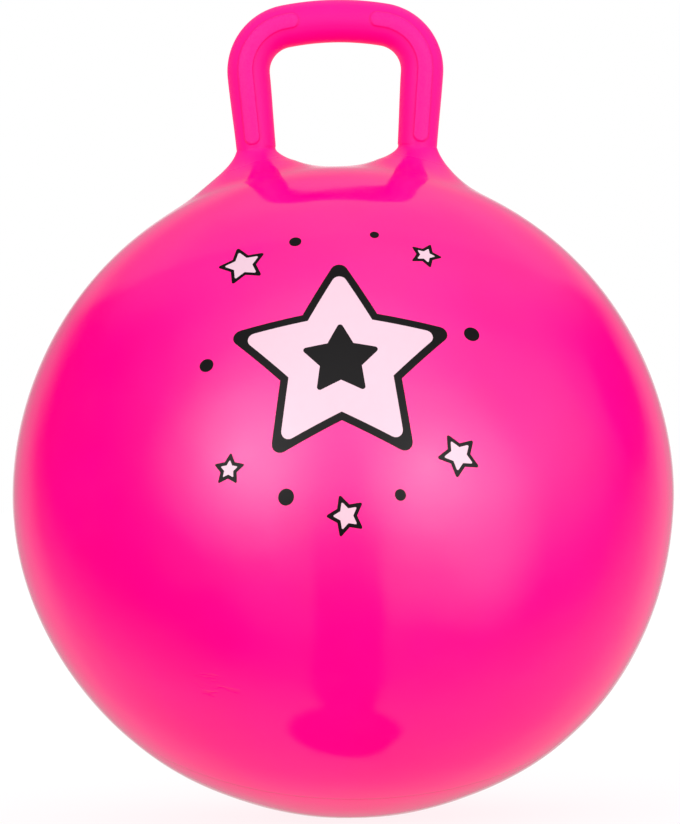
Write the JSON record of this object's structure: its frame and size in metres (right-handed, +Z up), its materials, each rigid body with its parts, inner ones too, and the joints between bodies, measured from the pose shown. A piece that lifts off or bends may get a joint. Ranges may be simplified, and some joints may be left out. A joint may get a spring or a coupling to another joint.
{
  "type": "hopper ball",
  "caption": "Bouncing ball for a child to sit on, with a closed loop handle on top, a plug valve at the back and a star print at the front.",
  "frame": {"origin": "middle of the flat patch on which the ball rests", "axes": "+Z up towards the handle, -Y towards the printed front, X along the handle's bar"},
  "size_m": [0.4498, 0.4501, 0.5599],
  "materials": {
    "ball_vinyl": "glossy soft vinyl",
    "handle_vinyl": "glossy soft vinyl",
    "valve_vinyl": "soft translucent vinyl",
    "plug_plastic": "hard white plastic",
    "ink_pale": "printed ink, satin",
    "ink_black": "printed ink, glossy"
  },
  "bodies": {
    "ball": {"ball_skin": "ball_vinyl", "handle_loop": "handle_vinyl", "valve_seat": "valve_vinyl", "print_pale": "ink_pale", "print_black": "ink_black"},
    "plug": {"valve_plug": "plug_plastic"}
  },
  "joints": [
    {"name": "plug_pull", "type": "slide", "parent": "ball", "child": "plug", "axis": [0, 0.8192, 0.5736], "range_m": [0, 0.03]}
  ]
}
